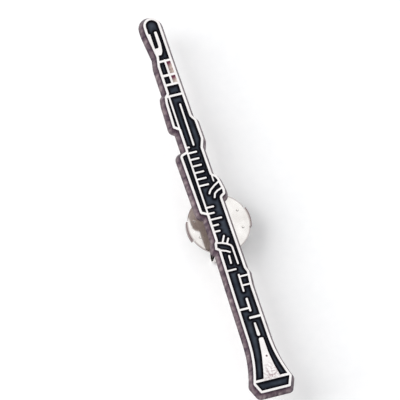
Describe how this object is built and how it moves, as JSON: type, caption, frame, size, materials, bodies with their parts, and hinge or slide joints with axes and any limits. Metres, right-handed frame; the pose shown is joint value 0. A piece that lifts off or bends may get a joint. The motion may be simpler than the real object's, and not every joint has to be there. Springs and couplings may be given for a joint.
{
  "type": "enamelled lapel pin with butterfly clutch",
  "caption": "Slim clarinet-shaped lapel pin in bright nickel with black enamel cells, a pointed post at its back and a sprung butterfly clutch pushed onto the post.",
  "frame": {"origin": "middle of the pin's length, on the centre line of the post and clutch (0.8 mm right of the pin's own centre line), at the height of the surface that the clutch's wings stand on", "axes": "+Z is the normal of the enamelled face, +Y runs along the pin from the bell towards the mouthpiece, +X is to the right seen from the front"},
  "size_m": [0.011, 0.071, 0.0092],
  "materials": {
    "pin_metal": "polished nickel plate, cast side walls",
    "black_enamel": "glossy fired enamel",
    "solder": "dull solder",
    "post_metal": "drawn nickel wire",
    "clutch_metal": "bright plated sheet",
    "spring_metal": "bright plated spring sheet"
  },
  "bodies": {
    "clutch": {"clutch_base": "clutch_metal", "clutch_spring_plate": "spring_metal"},
    "pin": {"pin_body": "pin_metal", "enamel_mouthpiece": "black_enamel", "enamel_ligature_upper": "black_enamel", "enamel_ligature_lower": "black_enamel", "enamel_barrel": "black_enamel", "enamel_register_key": "black_enamel", "enamel_side_key": "black_enamel", "enamel_bracket": "black_enamel", "enamel_body": "black_enamel", "enamel_bell_rim": "black_enamel", "post_pad": "solder", "post": "post_metal"},
    "wing_upper": {"clutch_wing_upper": "spring_metal"},
    "wing_lower": {"clutch_wing_lower": "spring_metal"}
  },
  "joints": [
    {"name": "pin_lift", "type": "slide", "parent": "clutch", "child": "pin", "axis": [0, 0, 1], "range_m": [-0.0009, 0.012]},
    {"name": "wing_upper_pinch", "type": "hinge", "parent": "clutch", "child": "wing_upper", "pos_m": [0, 0.00193, 0.00489], "axis": [-1, 0, 0], "range_deg": [0, 6], "stiffness_Nm_per_rad": 0.04},
    {"name": "wing_lower_pinch", "type": "hinge", "parent": "clutch", "child": "wing_lower", "pos_m": [0, -0.00688, 0.00489], "axis": [1, 0, 0], "range_deg": [0, 6], "stiffness_Nm_per_rad": 0.04}
  ],
  "couplings": [
    {"joint": "wing_lower_pinch", "follows": "wing_upper_pinch", "ratio": 1}
  ]
}
